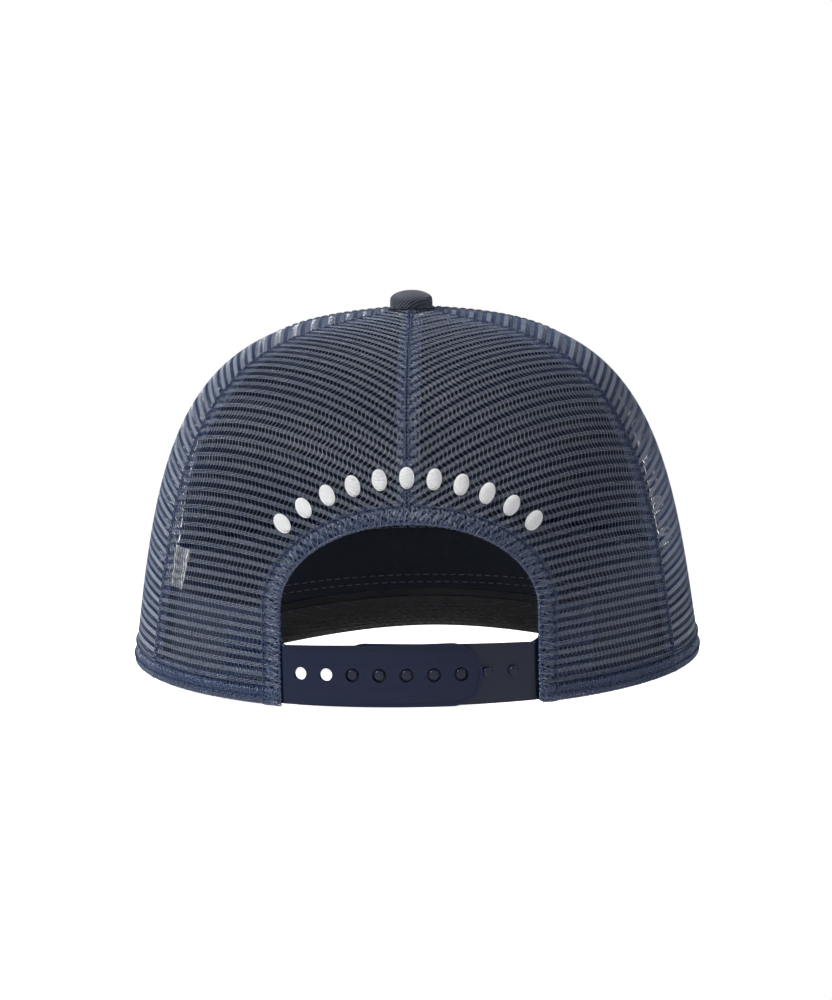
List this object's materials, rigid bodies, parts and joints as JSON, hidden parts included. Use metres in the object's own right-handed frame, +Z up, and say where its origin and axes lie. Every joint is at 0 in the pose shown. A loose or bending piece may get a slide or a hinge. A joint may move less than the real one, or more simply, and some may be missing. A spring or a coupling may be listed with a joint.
{
  "type": "trucker cap",
  "caption": "Trucker cap with a cloth front, open mesh sides and back, a curved visor, a top button and a plastic snap strap that peels open.",
  "frame": {"origin": "on the table under the middle of the cap's box, with the cap standing on the front of its visor and its rear hem", "axes": "+Z up from the table, visor towards -Y, back strap towards +Y, wearer's left towards +X"},
  "size_m": [0.19, 0.27, 0.1321],
  "materials": {
    "mesh_yarn": "shiny navy polyester mesh, knitted with open holes",
    "front_cloth": "dense navy twill",
    "foam": "thin dark foam",
    "seam_tape": "woven navy tape",
    "sweatband_cloth": "dark brushed cotton",
    "visor_under_cloth": "dark grey twill",
    "visor_board": "stiff white plastic board",
    "button_cloth": "navy twill drawn over a button",
    "button_metal": "stamped aluminium",
    "strap_plastic": "navy moulded plastic with a soft gloss",
    "thread": "white satin stitching",
    "label": "white woven label"
  },
  "bodies": {
    "crown": {"front_panel": "front_cloth", "front_foam_backing": "foam", "side_mesh_left": "mesh_yarn", "side_mesh_right": "mesh_yarn", "rear_mesh_left": "mesh_yarn", "rear_mesh_right": "mesh_yarn", "opening_facing": "mesh_yarn", "seam_strip_left": "mesh_yarn", "seam_strip_right": "mesh_yarn", "seam_strip_rear": "mesh_yarn", "seam_tape_front_left": "seam_tape", "seam_tape_front_right": "seam_tape", "hem_fold_left": "mesh_yarn", "hem_fold_right": "mesh_yarn", "sweatband": "sweatband_cloth", "sweatband_pad": "foam", "care_label": "label", "visor_under_cloth": "visor_under_cloth", "visor_board": "visor_board", "visor_top_cloth": "front_cloth", "button_core": "button_metal", "button_cover": "button_cloth", "button_washer": "button_metal", "strap_anchor_left": "strap_plastic", "strap_anchor_right": "strap_plastic", "rear_embroidery": "thread"},
    "outer_strap": {"strap_with_holes": "strap_plastic"},
    "inner_strap": {"strap_with_studs": "strap_plastic"}
  },
  "joints": [
    {"name": "outer_strap_peel", "type": "hinge", "parent": "crown", "child": "outer_strap", "pos_m": [0.03989, 0.12512, 0.00038], "axis": [0.0272, -0.0578, -0.998], "range_deg": [0, 75], "stiffness_Nm_per_rad": 0.03},
    {"name": "inner_strap_peel", "type": "hinge", "parent": "crown", "child": "inner_strap", "pos_m": [-0.03943, 0.12402, 0.00052], "axis": [-0.0272, -0.0578, -0.998], "range_deg": [0, 60], "stiffness_Nm_per_rad": 0.03}
  ]
}
